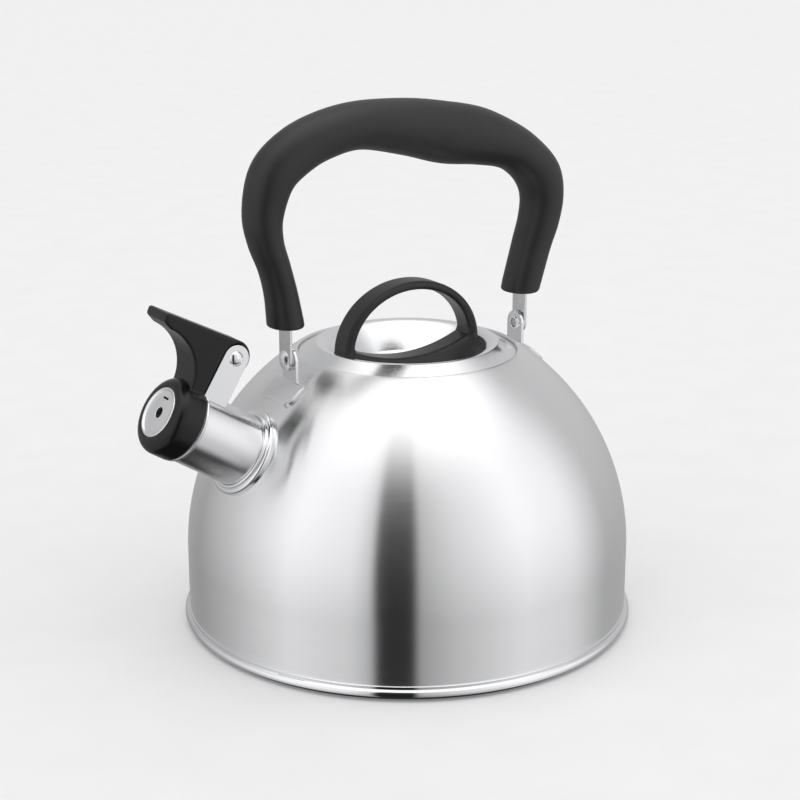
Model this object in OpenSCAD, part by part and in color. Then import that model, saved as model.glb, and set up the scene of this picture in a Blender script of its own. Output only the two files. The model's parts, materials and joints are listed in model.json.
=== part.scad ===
// Stovetop whistling kettle, 3 litre class, built piece by piece.
// Origin: centre of the base on the stove, +Z up, spout towards -X.

/* [Vessel] */
// Outer diameter of the straight wall
body_d = 205.6; // [185:0.2:250]
// Height of the straight wall's top, where the dome starts
wall_h = 33.6; // [20:0.2:45]
// Height of the dome's edge round the lid
dome_h = 127.2; // [115:0.2:160]
// Thickness of the steel sheet
sheet_t = 1; // [0.8:0.1:1.2]
// How far the rolled seam at the foot stands out past the wall
rim_out = 2.2; // [1.6:0.1:3]
// Diameter of the heat-spreading base under the vessel
base_d = 182.8; // [150:0.2:190]

/* [Lid] */
// Outer diameter of the lid's flange
lid_d = 99.4; // [84:0.2:120]
// Depth of the finger bowl below the lid's crest
bowl_h = 12.9; // [9:0.1:13]
// Length of the ring that guides the lid in the neck
skirt_l = 13; // [9:0.5:14]

/* [Knob] */
// Width of the loop across its feet
knob_w = 72; // [62:0.5:74]
// Height of the loop above the lid's crest
knob_h = 28.4; // [22:0.2:36]
// Thickness of the loop from face to face
knob_t = 13; // [10:0.5:16]

/* [Handle] */
// Height of the grip's top above the rivets
handle_h = 110.4; // [100:0.2:135]
// Full thickness of the grip at its thickest place
grip_d = 27.8; // [22:0.2:33]
// Width of each steel strap
strap_w = 9.5; // [8:0.5:12]
// Thickness of the straps and the bracket ears
strap_t = 1.5; // [1.2:0.1:2]
// Distance from the lid's seat to the bracket ears
ear_out = 9.3; // [7:0.1:14]
// Diameter of the handle rivets' shanks
rivet_d = 5.2; // [4:0.2:6]

/* [Spout] */
// Outer diameter of the spout tube
spout_d = 32.4; // [26:0.2:39]
// Length of the spout above the dome along its axis
spout_l = 33.5; // [30:0.5:42]
// Angle of the spout above level
spout_angle = 32; // [28:1:36]
// Diameter of the hinge pin of the whistle cap
pin_d = 3.2; // [2.6:0.1:3.6]

/* [Whistle] */
// Diameter of the steel whistle in the cap
whistle_d = 22.8; // [18:0.2:23.4]
// Diameter of the hole in the whistle
sound_hole_d = 4.8; // [3:0.2:6]
// Width of the thumb lever in front of the hinge
lever_w = 18.4; // [15:0.2:21]

/* [Clearances] */
// Radial play of a turning joint on its pin
run_gap = 0.05; // [0.03:0.01:0.1]
// Side play of a strap between its washer and rivet head
side_gap = 0.05; // [0.03:0.01:0.1]
// Gap all round between lid and neck
lid_gap = 0.5; // [0.4:0.1:1]
// Gap between the whistle cap's edge and the spout's lip
cap_gap = 0.4; // [0.3:0.1:0.8]
// Least gap between the front bracket and the spout's collar
foot_gap = 1; // [0.5:0.1:2]

/* [Hidden] */

steel = [0.80, 0.80, 0.82];
dark = [0.10, 0.10, 0.11];
alu = [0.70, 0.70, 0.72];
$fn = 64;

// Vessel: straight wall, then one arc up to the lid's seat
wall_r = body_d / 2;
rim_r = wall_r + rim_out;
lid_r = lid_d / 2;
step_r = lid_r + lid_gap;
seat_out = step_r + sheet_t;
arc_in = wall_r - seat_out;
arc_up = dome_h - wall_h;
arc_r = round(50 * (arc_in * arc_in + arc_up * arc_up) / arc_in) / 100;
arc_x = wall_r - arc_r;
shoulder_h = wall_h + 26.4;
function dome_z(r) = wall_h + sqrt(pow(arc_r, 2) - pow(r - arc_x, 2));
seat_z = dome_h - 2.2;
neck_r = lid_r - 5.8;
neck_low = seat_z - 11;
bead_r = 2.3;
bead_x = rim_r - bead_r;
bead_z = 2.9;
wall_low = 2.4;
pan_t = 0.8;
core_top = 3.8;
cap_t = 0.6;

// Lid: flange, crest, bowl wall and floor
lid_t = 0.8;
crest_r = lid_r - 8.3;
crest_z = seat_z + 5.4;
bowl_z = crest_z - bowl_h;
lip_r = 9;
fil_r = 8;
wall_a = 39;
lip_x = crest_r - lip_r * sin(wall_a);
lip_z = crest_z - lip_r * (1 - cos(wall_a));
fil_x = lip_x - (lip_z - bowl_z - fil_r * (1 - cos(wall_a))) / tan(wall_a);
fil_c = fil_x - fil_r * sin(wall_a);
under_x0 = crest_r + 0.2;
under_z0 = crest_z - 0.85;
under_x1 = lid_r - 1.4;
under_z1 = seat_z + 0.65;
function under_z(r) = under_z0 + (r - under_x0) * (under_z1 - under_z0) / (under_x1 - under_x0);
skirt_r = neck_r - lid_gap;
skirt_low = seat_z - skirt_l;

// Knob: half ellipse outline with an eye-shaped finger hole
knob_z = crest_z - 2.4;
knob_b = knob_h + 2.4;
eye_w = knob_w / 2 - 4.8;
eye_z = knob_z + 1;
eye_b = knob_b - 5.1;
eye_low = bowl_z + 6.2;
eye_end = eye_z + 1.5;
eye_r = (pow(eye_w, 2) + pow(eye_end - eye_low, 2)) / (2 * (eye_end - eye_low));
screw_x = knob_w * 0.2;
screw_r = 1.75;

// Handle: ears on the dome, washer, strap, rivet head from inside out
ear_in = seat_out + ear_out;
ear_outer = ear_in + strap_t;
wash_t = 0.6;
strap_in = ear_outer + wash_t + side_gap;
head_in = strap_in + strap_t + side_gap;
pivot_z = dome_z(ear_in + strap_t / 2) + 10.3;
rivet_r = rivet_d / 2;
ear_w = strap_w + 2;
foot_w = 24;
foot_l = 9.2;
foot_t = 1.5;
strap_mid = strap_in + strap_t / 2;
strap_len = 32;

// Grip centreline: side, height above the rivets, half thickness, half width
grip_pts = [[-63.5, 16.5, 7.8, 9.8], [-65.5, 30, 7, 9], [-68.5, 42, 6.8, 9],
            [-72.5, 54, 7.5, 9.5], [-73.5, 66, 8.8, 10], [-69, 81, 10.2, 11],
            [-59.5, 90, 10.6, 11.5], [-45.5, 96.5, 10.4, 12], [-26, 100, 10.5, 12.5],
            [-1, 97.5, 12.6, 13], [19, 93.5, 13.9, 13.5], [37, 90.5, 13.1, 13.5],
            [54, 85, 11, 12.8], [65, 78, 10.5, 12], [72.5, 69.5, 10.8, 11.5],
            [75, 59.5, 10, 11], [73.5, 48.5, 9.4, 10.5], [69.5, 36.5, 8.9, 10],
            [63.5, 16.5, 8.5, 9.9]];
grip_s = strap_mid / 63.5;
grip_v = handle_h / 110.5;
grip_k = grip_d / 27.8;
grip_sub = 3;
grip_sides = 28;
gn = len(grip_pts);
function gp(i) = [grip_pts[i][0] * grip_s,
                  16.5 + (grip_pts[i][1] - 16.5) * (handle_h - 16.5) / 94,
                  grip_pts[i][2] * grip_k, grip_pts[i][3] * grip_k];
function cr(a, b, c, d, t) = 0.5 * (2 * b + (c - a) * t + (2 * a - 5 * b + 4 * c - d) * t * t
                             + (3 * b - a - 3 * c + d) * t * t * t);
grip_line = concat([for (i = [0 : gn - 2]) for (k = [0 : grip_sub - 1])
                    cr(gp(max(i - 1, 0)), gp(i), gp(i + 1), gp(min(i + 2, gn - 1)), k / grip_sub)],
                   [gp(gn - 1)]);
gl = len(grip_line);
function dir2(i) = let (a = grip_line[max(i - 1, 0)], b = grip_line[min(i + 1, gl - 1)],
                        v = [b[0] - a[0], b[1] - a[1]]) v / norm(v);
function ring(c, t, a, b) = [for (k = [0 : grip_sides - 1])
    let (u = 360 * k / grip_sides)
    [c[0] - t[1] * a * cos(u), b * sin(u), c[1] + t[0] * a * cos(u)]];
end_in = 1.1;
grip_rings = concat(
    [ring([grip_line[0][0], grip_line[0][1] - end_in], [0, 1],
          grip_line[0][2] - end_in, grip_line[0][3] - end_in)],
    [for (i = [0 : gl - 1]) ring(grip_line[i],
        i == 0 ? [0, 1] : i == gl - 1 ? [0, -1] : dir2(i), grip_line[i][2], grip_line[i][3])],
    [ring([grip_line[gl - 1][0], grip_line[gl - 1][1] - end_in], [0, -1],
          grip_line[gl - 1][2] - end_in, grip_line[gl - 1][3] - end_in)]);

// Spout: its axis is square to the dome where the two meet
sx = arc_x + arc_r * cos(spout_angle);
sz = wall_h + arc_r * sin(spout_angle);
spout_r = spout_d / 2;
bore_r = spout_r - sheet_t;
collar_r = spout_r + 3.8;
// Whistle cap, measured from the spout's root: side (up) and length (out)
pin_x = spout_r + 18.7;
pin_l = spout_l - 4.3;
pin_r = pin_d / 2;
cap_r = spout_r + 1.1;
cap_back = spout_l + cap_gap;
cap_front = cap_back + 13.1;
web_top = spout_r + 1.2;
hinge_w = lever_w - 4.4;
ear_y = hinge_w / 2 + 0.3;
ear_t = 1.5;
boss_r = 7.7;
can_r = whistle_d / 2;
seal_in = spout_r - 3.4;
seal_t = 2;
coil_r = 3.6;
wire_r = 0.4;
coil_turns = 2.25;

module at_spout() {
    translate([-sx, 0, sz])
        rotate([0, spout_angle - 90, 0])
            children();
}

module dome_2d(d) {
    square([wall_r - d, wall_h]);
    intersection() {
        translate([arc_x, wall_h])
            circle(r = arc_r - d, $fn = 160);
        translate([0, wall_h])
            square([wall_r + 5, arc_r + 5]);
    }
}

module dome_solid(d) {
    rotate_extrude($fn = 96)
        dome_2d(d);
}

// Solid cap of a rivet, flat side on z = 0
module domed_head(r, h) {
    big = (r * r + h * h) / (2 * h);
    intersection() {
        translate([0, 0, h - big])
            sphere(r = big, $fn = 48);
        cylinder(r = r, h = h, $fn = 40);
    }
}

// Straight wall of the vessel, from the rolled seam up to the dome
module body_wall() {
    color(steel)
    rotate_extrude($fn = 96)
        translate([wall_r - sheet_t, wall_low])
            square([sheet_t, wall_h - wall_low]);
}

// Skin of the dome between two heights
module dome_skin(low, high) {
    rotate_extrude($fn = 96)
        intersection() {
            difference() {
                translate([arc_x, wall_h])
                    circle(r = arc_r, $fn = 160);
                translate([arc_x, wall_h])
                    circle(r = arc_r - sheet_t, $fn = 160);
            }
            translate([seat_out, low])
                square([wall_r, high - low]);
        }
}

// Lower band of the dome, under the spout
module body_shoulder() {
    color(steel)
    dome_skin(wall_h, shoulder_h);
}

// Upper part of the dome, open at the lid's seat and at the spout
module body_dome() {
    color(steel)
    difference() {
        dome_skin(shoulder_h, wall_h + arc_r);
        at_spout()
            translate([0, 0, -12])
                cylinder(r = bore_r, h = 24);
    }
}

// Pressed ring that the lid rests in: step, flat seat and neck
module lid_seat() {
    color(steel)
    rotate_extrude($fn = 96)
        union() {
            translate([step_r, seat_z - sheet_t])
                square([sheet_t, dome_h - seat_z + sheet_t]);
            translate([neck_r, seat_z - sheet_t])
                square([seat_out - neck_r, sheet_t]);
            translate([neck_r, neck_low])
                square([sheet_t, seat_z - neck_low]);
        }
}

// Bottom plate with the rolled seam round the wall's foot
module base_pan() {
    color(steel)
    rotate_extrude($fn = 96)
        difference() {
            union() {
                translate([bead_x, bead_z])
                    circle(r = bead_r, $fn = 40);
                translate([base_d / 2 + 1.2, wall_low - pan_t])
                    square([bead_x - base_d / 2 - 1.2, pan_t]);
                translate([base_d / 2 + 1.2, wall_low - pan_t])
                    square([pan_t, core_top + 2 * pan_t - wall_low]);
                translate([0, core_top])
                    square([base_d / 2 + 1.2 + pan_t, pan_t]);
            }
            translate([wall_r - sheet_t, wall_low])
                square([sheet_t, 10]);
        }
}

// Aluminium disc that spreads the heat
module base_core() {
    color(alu)
    translate([0, 0, cap_t])
        cylinder(r = base_d / 2 - cap_t, h = core_top - cap_t, $fn = 96);
}

// Steel cap over the aluminium disc, flat on the stove
module base_cap() {
    color(steel)
    rotate_extrude($fn = 96)
        polygon([[0, 0], [base_d / 2 - 0.8, 0], [base_d / 2, 0.8], [base_d / 2, core_top],
                 [base_d / 2 - cap_t, core_top], [base_d / 2 - cap_t, cap_t], [0, cap_t]]);
}

// Short straight spout with a rolled lip
module spout_tube() {
    color(steel)
    difference() {
        at_spout()
            difference() {
                union() {
                    translate([0, 0, -8])
                        cylinder(r = spout_r, h = spout_l + 8);
                    rotate_extrude()
                        translate([spout_r, spout_l - 0.8])
                            circle(r = 0.8, $fn = 24);
                }
                translate([0, 0, -20])
                    cylinder(r = bore_r, h = spout_l + 40);
            }
        dome_solid(0);
    }
}

// Welded ring with a double bead where the spout meets the dome
module spout_collar() {
    color(steel)
    difference() {
        at_spout()
            rotate_extrude()
                difference() {
                    union() {
                        translate([collar_r - 1.5, -0.3])
                            circle(r = 1.5, $fn = 32);
                        translate([spout_r + 0.8, 1.3])
                            circle(r = 0.9, $fn = 24);
                        translate([spout_r, -4])
                            square([2.4, 5.1]);
                    }
                    translate([0, -10])
                        square([spout_r, 20]);
                }
        dome_solid(0);
    }
}

// Folded bracket welded on the spout: a web and two round-topped ears
module spout_bracket() {
    color(steel)
    at_spout()
        difference() {
            union() {
                translate([spout_r - 3, -ear_y - ear_t, pin_l - 6.4])
                    cube([web_top - spout_r + 3, 2 * (ear_y + ear_t), 8.6]);
                for (s = [-1, 1])
                    translate([0, s * (ear_y + ear_t / 2), 0])
                        rotate([90, 0, 0])
                            linear_extrude(height = ear_t, center = true)
                                union() {
                                    translate([pin_x, pin_l])
                                        circle(r = 6, $fn = 40);
                                    translate([web_top - 0.6, pin_l - 6])
                                        square([pin_x - web_top + 0.6, 12]);
                                }
            }
            translate([0, 0, -5])
                cylinder(r = spout_r, h = 80);
            translate([pin_x, 0, pin_l])
                rotate([90, 0, 0])
                    cylinder(r = pin_r, h = 60, center = true, $fn = 32);
        }
}

// Riveted hinge pin of the whistle cap
module hinge_pin() {
    out = ear_y + ear_t;
    color(steel)
    at_spout()
        translate([pin_x, 0, pin_l])
            union() {
                rotate([90, 0, 0])
                    cylinder(r = pin_r, h = 2 * out + 0.4, center = true, $fn = 32);
                translate([0, -out, 0])
                    rotate([90, 0, 0])
                        domed_head(3.3, 1.7);
                translate([0, out, 0])
                    rotate([-90, 0, 0])
                        domed_head(3.3, 1.7);
            }
}

// Torsion spring: one leg in the lever, the other on the bracket's web
leg_a = 14;
spring_line = concat(
    [[coil_r, leg_a, -1.2, 0]],
    [for (v = [0 : 18 : 360 * coil_turns])
        [coil_r * cos(v), -coil_r * sin(v), -1.2 + 1.05 * v / 360, v]],
    [[-(pin_x - web_top - wire_r - 0.02), -coil_r, -1.2 + 1.05 * coil_turns, 360 * coil_turns]]);
spring_rings = [for (p = spring_line) [for (k = [0 : 7])
    let (u = 45 * k, e = [cos(p[3]), -sin(p[3])])
    [p[0] + wire_r * cos(u) * e[0], p[2] + wire_r * sin(u), p[1] + wire_r * cos(u) * e[1]]]];

// Closed skin through a list of rings with the same number of points
module skin(rings) {
    n = len(rings);
    m = len(rings[0]);
    polyhedron(
        points = [for (r = rings) for (p = r) p],
        faces = concat(
            [[for (k = [0 : m - 1]) k]],
            [for (i = [0 : n - 2]) for (k = [0 : m - 1])
                [i * m + k, (i + 1) * m + k, (i + 1) * m + (k + 1) % m]],
            [for (i = [0 : n - 2]) for (k = [0 : m - 1])
                [i * m + k, (i + 1) * m + (k + 1) % m, i * m + (k + 1) % m]],
            [[for (k = [m - 1 : -1 : 0]) (n - 1) * m + k]]));
}

module cap_spring() {
    color(steel)
    at_spout()
        translate([pin_x, 0, pin_l])
            skin(spring_rings);
}

// Moulded whistle cap: cup, thumb lever and hinge boss in one piece
module whistle_cap() {
    round_r = 5.5;
    color(dark)
    at_spout()
        difference() {
            union() {
                rotate_extrude()
                    union() {
                        translate([0, cap_back])
                            square([cap_r, cap_front - cap_back - round_r]);
                        translate([0, cap_back])
                            square([cap_r - round_r, cap_front - cap_back]);
                        translate([cap_r - round_r, cap_front - round_r])
                            circle(r = round_r, $fn = 48);
                    }
                difference() {
                    rotate([90, 0, 0])
                        linear_extrude(height = lever_w, center = true)
                            difference() {
                                polygon([[spout_r - 2.2, cap_back + 0.3],
                                         [pin_x - 7, cap_back + 0.3], [pin_x, pin_l],
                                         [pin_x + boss_r, pin_l],
                                         [pin_x + 4.2, pin_l + 39.6],
                                         [pin_x + 0.3, pin_l + 39],
                                         [pin_x - 1.4, pin_l + 34.5],
                                         [spout_r - 2.2, pin_l + 34.5]]);
                                translate([pin_x - 21.8, pin_l + 33.7])
                                    circle(r = 20.4, $fn = 96);
                            }
                    // recesses in both sides for the bracket's ears
                    for (s = [-1, 1])
                        translate([0, s * (hinge_w + 10) / 2, 0])
                            rotate([90, 0, 0])
                                linear_extrude(height = 10, center = true)
                                    union() {
                                        translate([pin_x, pin_l])
                                            circle(r = 6.8, $fn = 48);
                                        translate([0, pin_l - 20])
                                            square([pin_x, 26.8]);
                                        translate([pin_x, pin_l - 20])
                                            square([20, 20]);
                                    }
                }
                translate([pin_x, 0, pin_l])
                    rotate([90, 0, 0])
                        cylinder(r = boss_r, h = hinge_w, center = true, $fn = 48);
            }
            // stepped bore: seal seat, chamber, shelf and whistle seat
            translate([0, 0, cap_back - 5])
                cylinder(r = spout_r + 0.2, h = 5 + seal_t);
            translate([0, 0, cap_back])
                cylinder(r = seal_in, h = 6.1);
            translate([0, 0, cap_back])
                cylinder(r = can_r - 1.4, h = 12);
            translate([0, 0, cap_back + 7.3])
                cylinder(r = can_r, h = 12);
            // hinge bore and the pocket for the spring
            translate([pin_x, 0, pin_l])
                rotate([90, 0, 0])
                    cylinder(r = pin_r + run_gap, h = hinge_w + 4, center = true, $fn = 32);
            translate([pin_x, 0, pin_l])
                rotate([90, 0, 0])
                    cylinder(r = 5, h = 5, center = true, $fn = 32);
            translate([pin_x - boss_r - 1, -2.5, pin_l - boss_r - 1])
                cube([boss_r + 1, 5, boss_r + 1 + 3]);
            translate([pin_x + coil_r - 1, -2.2, pin_l])
                cube([2, 2, 15]);
        }
}

// Front of the whistle: a pressed can with the sound hole
module whistle_front() {
    color(steel)
    at_spout()
        difference() {
            rotate_extrude()
                union() {
                    translate([can_r - 0.6, cap_back + 7.3])
                        square([0.6, 5.8]);
                    translate([sound_hole_d / 2, cap_back + 11.7])
                        square([can_r - 0.3 - sound_hole_d / 2, 0.6]);
                }
            translate([can_r * 0.55, -2.2, cap_back + 11])
                cube([0.9, 4.4, 3]);
        }
}

// Rear plate of the whistle
module whistle_rear() {
    color(steel)
    at_spout()
        translate([0, 0, cap_back + 7.9])
            difference() {
                cylinder(r = can_r - 0.6, h = 0.6);
                translate([0, 0, -1])
                    cylinder(r = sound_hole_d / 2, h = 3, $fn = 32);
            }
}

// Silicone ring that seals the cap on the spout's lip
module cap_seal() {
    color([0.5, 0.5, 0.5])
    at_spout()
        translate([0, 0, spout_l])
            difference() {
                cylinder(r = spout_r + 0.2, h = cap_gap + seal_t);
                translate([0, 0, -1])
                    cylinder(r = seal_in, h = 10);
            }
}

// Ear and curved foot of one handle bracket, on the +X side
module bracket() {
    color(steel)
    difference() {
        union() {
            translate([ear_in, 0, 0])
                rotate([90, 0, 90])
                    linear_extrude(height = strap_t)
                        union() {
                            translate([0, pivot_z])
                                circle(r = ear_w / 2, $fn = 48);
                            translate([-ear_w / 2, pivot_z - 22])
                                square([ear_w, 22]);
                        }
            intersection() {
                dome_solid(-foot_t);
                translate([ear_in, 0, wall_h + 20])
                    linear_extrude(height = dome_h)
                        union() {
                            translate([0, -foot_w / 2])
                                square([foot_l - 4, foot_w]);
                            translate([0, 4 - foot_w / 2])
                                square([foot_l, foot_w - 8]);
                            for (s = [-1, 1])
                                translate([foot_l - 4, s * (foot_w / 2 - 4)])
                                    circle(r = 4, $fn = 32);
                        }
            }
        }
        dome_solid(0);
        translate([ear_in - 2, 0, pivot_z])
            rotate([0, 90, 0])
                cylinder(r = rivet_r, h = 10, $fn = 40);
    }
}

module bracket_front() {
    color(steel)
    difference() {
        mirror([1, 0, 0])
            bracket();
        at_spout()
            translate([0, 0, -12])
                cylinder(r = collar_r + foot_gap, h = 24);
    }
}

module bracket_rear() {
    bracket();
}

module washer() {
    color(steel)
    translate([ear_outer, 0, pivot_z])
        rotate([0, 90, 0])
            difference() {
                cylinder(r = strap_w / 2 + 0.2, h = wash_t, $fn = 48);
                translate([0, 0, -1])
                    cylinder(r = rivet_r, h = 3, $fn = 40);
            }
}

module washer_front() {
    mirror([1, 0, 0])
        washer();
}

module washer_rear() {
    washer();
}

// Eyelet rivet: domed head outside, rolled open end inside
module rivet() {
    color(steel)
    difference() {
        union() {
            translate([ear_in - 0.9, 0, pivot_z])
                rotate([0, 90, 0])
                    cylinder(r = rivet_r, h = head_in - ear_in + 0.9, $fn = 40);
            translate([ear_in - 0.9, 0, pivot_z])
                rotate([0, 90, 0])
                    cylinder(r1 = rivet_r + 0.5, r2 = rivet_r + 0.9, h = 0.9, $fn = 40);
            translate([head_in, 0, pivot_z])
                rotate([0, 90, 0])
                    domed_head(strap_w / 2 - 0.2, 1.7);
        }
        translate([ear_in - 2, 0, pivot_z])
            rotate([0, 90, 0])
                cylinder(r = rivet_r - 0.5, h = 4.5, $fn = 40);
    }
}

module rivet_front() {
    mirror([1, 0, 0])
        rivet();
}

module rivet_rear() {
    rivet();
}

// Flat steel strap from the rivet up into the grip
module strap(play) {
    translate([strap_in, 0, 0])
        rotate([90, 0, 90])
            linear_extrude(height = strap_t)
                difference() {
                    union() {
                        translate([0, pivot_z])
                            circle(r = strap_w / 2, $fn = 48);
                        translate([-strap_w / 2, pivot_z])
                            square([strap_w, strap_len]);
                    }
                    translate([0, pivot_z])
                        circle(r = rivet_r + play, $fn = 40);
                }
}

module strap_front() {
    color(steel)
    mirror([1, 0, 0])
        strap(run_gap);
}

module strap_rear() {
    color(steel)
    strap(run_gap);
}

// Soft grip moulded round the upper ends of both straps
module handle_grip() {
    color(dark)
    difference() {
        translate([0, 0, pivot_z])
            skin(grip_rings);
        for (m = [0, 1])
            mirror([m, 0, 0])
                translate([strap_in, -strap_w / 2, pivot_z + 10])
                    cube([strap_t, strap_w, strap_len - 10]);
    }
}

// Top face of the lid from the flange's edge to the bowl's centre
lid_top = concat(
    [[lid_r, seat_z], [lid_r, seat_z + 0.7], [lid_r - 0.3, seat_z + 0.95]],
    [for (a = [60 : 10 : 80]) [crest_r + 1.2 * cos(a), crest_z - 1.2 + 1.2 * sin(a)]],
    [for (k = [0 : 6]) [crest_r - lip_r * sin(wall_a * k / 6),
                        crest_z - lip_r * (1 - cos(wall_a * k / 6))]],
    [for (k = [6 : -1 : 0]) [fil_c + fil_r * sin(wall_a * k / 6),
                             bowl_z + fil_r * (1 - cos(wall_a * k / 6))]],
    [[0, bowl_z]]);
lid_under = concat(
    [[0, bowl_z - lid_t]],
    [for (k = [0 : 6]) [fil_c + (fil_r + lid_t) * sin(wall_a * k / 6),
                        bowl_z + fil_r - (fil_r + lid_t) * cos(wall_a * k / 6)]],
    [for (k = [6 : -1 : 1]) [crest_r - (lip_r - lid_t) * sin(wall_a * k / 6),
                        crest_z - lip_r + (lip_r - lid_t) * cos(wall_a * k / 6)]],
    [[under_x0, under_z0], [under_x1, under_z1], [under_x1, seat_z]]);

// Polished lid: flange, crest and finger bowl pressed from one sheet
module lid_pan() {
    color(steel)
    difference() {
        rotate_extrude($fn = 96)
            polygon(concat(lid_top, lid_under));
        for (s = [-1, 1])
            translate([s * screw_x, 0, bowl_z - 5])
                cylinder(r = screw_r, h = 10, $fn = 24);
    }
}

// Guide ring welded under the flange
module lid_skirt() {
    color(steel)
    rotate_extrude($fn = 96)
        polygon([[skirt_r - 0.8, skirt_low], [skirt_r, skirt_low],
                 [skirt_r, under_z(skirt_r)], [skirt_r - 0.8, under_z(skirt_r - 0.8)]]);
}

// Loop knob: its lower bar fills the bowl, its arch stands above the lid
module lid_knob() {
    color(dark)
    difference() {
        rotate([90, 0, 0])
            linear_extrude(height = knob_t, center = true)
                difference() {
                    polygon(concat(
                        [for (a = [0 : 5 : 180])
                            [knob_w / 2 * cos(a), knob_z + knob_b * sin(a)]],
                        [[-knob_w / 2, bowl_z], [knob_w / 2, bowl_z]]));
                    polygon(concat(
                        [for (a = [4 : 4 : 176])
                            [eye_w * cos(a), eye_z + eye_b * sin(a)]],
                        [for (k = [-7 : 7])
                            [k * eye_w * 0.98 / 7,
                             eye_low + eye_r - sqrt(pow(eye_r, 2) - pow(k * eye_w * 0.98 / 7, 2))]]));
                }
        rotate_extrude($fn = 96)
            polygon(concat([for (p = lid_top) if (p[0] <= crest_r + 0.01) p],
                           [[0, bowl_z - 5], [crest_r, bowl_z - 5]]));
        for (s = [-1, 1])
            translate([s * screw_x, 0, bowl_z - 5])
                cylinder(r = screw_r, h = 10.5, $fn = 24);
    }
}

// Two screws from below through the bowl's floor into the knob
module lid_screws() {
    color(steel)
    for (s = [-1, 1])
        translate([s * screw_x, 0, bowl_z - lid_t])
            union() {
                cylinder(r = screw_r, h = lid_t + 5.5, $fn = 24);
                rotate([180, 0, 0])
                    domed_head(3.2, 1.6);
            }
}

body_wall();
body_shoulder();
body_dome();
lid_seat();
base_pan();
base_core();
base_cap();
spout_tube();
spout_collar();
spout_bracket();
hinge_pin();
cap_spring();
whistle_cap();
whistle_front();
whistle_rear();
cap_seal();
bracket_front();
bracket_rear();
washer_front();
washer_rear();
rivet_front();
rivet_rear();
strap_front();
strap_rear();
handle_grip();
lid_pan();
lid_skirt();
lid_knob();
lid_screws();
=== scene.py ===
import json
from math import atan2, asin, cos, degrees, pi, radians, sin, sqrt, tan

import bmesh
import bpy
from mathutils import Matrix, Vector


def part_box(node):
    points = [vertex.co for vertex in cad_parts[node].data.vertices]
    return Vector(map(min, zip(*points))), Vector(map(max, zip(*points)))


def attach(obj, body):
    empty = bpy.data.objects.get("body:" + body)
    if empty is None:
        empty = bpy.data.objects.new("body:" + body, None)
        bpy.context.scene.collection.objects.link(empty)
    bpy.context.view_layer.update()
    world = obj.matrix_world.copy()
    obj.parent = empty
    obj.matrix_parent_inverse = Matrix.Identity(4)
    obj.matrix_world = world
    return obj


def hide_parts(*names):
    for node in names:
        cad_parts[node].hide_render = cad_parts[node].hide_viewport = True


# Looks of a stovetop whistling kettle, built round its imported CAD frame.
# The frame is in metres and the outlines below are drawn in millimetres. new_piece() scales what is
# drawn as a mesh, and cap_spring() scales the points of its wire.
MM = 0.001

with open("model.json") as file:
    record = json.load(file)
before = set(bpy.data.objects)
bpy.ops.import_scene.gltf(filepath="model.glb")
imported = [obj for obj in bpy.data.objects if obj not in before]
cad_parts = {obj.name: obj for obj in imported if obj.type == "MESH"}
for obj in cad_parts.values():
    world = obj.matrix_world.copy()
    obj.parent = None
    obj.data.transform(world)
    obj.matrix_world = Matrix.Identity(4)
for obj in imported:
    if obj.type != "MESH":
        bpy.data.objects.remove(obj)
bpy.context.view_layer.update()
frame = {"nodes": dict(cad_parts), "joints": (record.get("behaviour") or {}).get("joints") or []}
joints = {j["name"]: j for j in frame["joints"]}


# ---------------------------------------------------------------- camera
CAMERA_PLACE = (-0.4311, -0.6638, 0.3413)
CAMERA_TURN = radians(-32.76)
CAMERA_PITCH = radians(90 - 16.84)
CAMERA_LENS = 80.62


def make_camera():
    data = bpy.data.cameras.new("camera")
    data.lens = CAMERA_LENS
    data.sensor_width = 36
    data.clip_end = 100
    camera = bpy.data.objects.new("camera", data)
    camera.location = CAMERA_PLACE
    camera.rotation_euler = (CAMERA_PITCH, 0, CAMERA_TURN)
    bpy.context.scene.collection.objects.link(camera)
    bpy.context.scene.camera = camera


make_camera()


# ---------------------------------------------------------------- sizes in mm, from the frame
def low_mm(node):
    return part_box(node)[0] / MM


def high_mm(node):
    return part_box(node)[1] / MM


def joint_mm(name):
    return Vector(joints[name]["pos_m"]) / MM


SHEET = 1.0
WALL_TOP = 33.6
wall_r = high_mm("body_wall").x
foot_z = low_mm("body_wall").z
dome_top = high_mm("body_dome").z
lid_r = high_mm("lid_pan").x
LID_GAP = 0.5
SEAT_W = 5.8
NECK_DEPTH = 11
SKIRT_L = 13
step_r = lid_r + LID_GAP
seat_out = step_r + SHEET
neck_r = lid_r - SEAT_W
seat_z = low_mm("lid_skirt").z + SKIRT_L
arc_r = ((wall_r - seat_out) ** 2 + (dome_top - WALL_TOP) ** 2) / (2 * (wall_r - seat_out))
arc_x = wall_r - arc_r
base_r = high_mm("base_cap").x
bead_r = 2.3
bead_x = high_mm("base_pan").x - bead_r
bead_z = 2.9

lid_low = low_mm("lid_pan").z
BOWL_DEPTH = 12.9
LID_SHEET = 0.8
FLANGE_W = 8.3
bowl_z = lid_low + LID_SHEET
crest_z = bowl_z + BOWL_DEPTH
crest_r = lid_r - FLANGE_W

knob_half = high_mm("lid_knob").x
knob_top = high_mm("lid_knob").z
knob_y = high_mm("lid_knob").y
KNOB_SINK = 2.4
knob_z = crest_z - KNOB_SINK

pivot_z = joint_mm("handle_fold").z
strap_in = low_mm("strap_rear").x
strap_t = high_mm("strap_rear").x - strap_in
strap_w = 2 * high_mm("strap_rear").y
strap_top = high_mm("strap_rear").z
ear_in = low_mm("bracket_rear").x
ear_t = 1.5
rivet_r = 2.6

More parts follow.
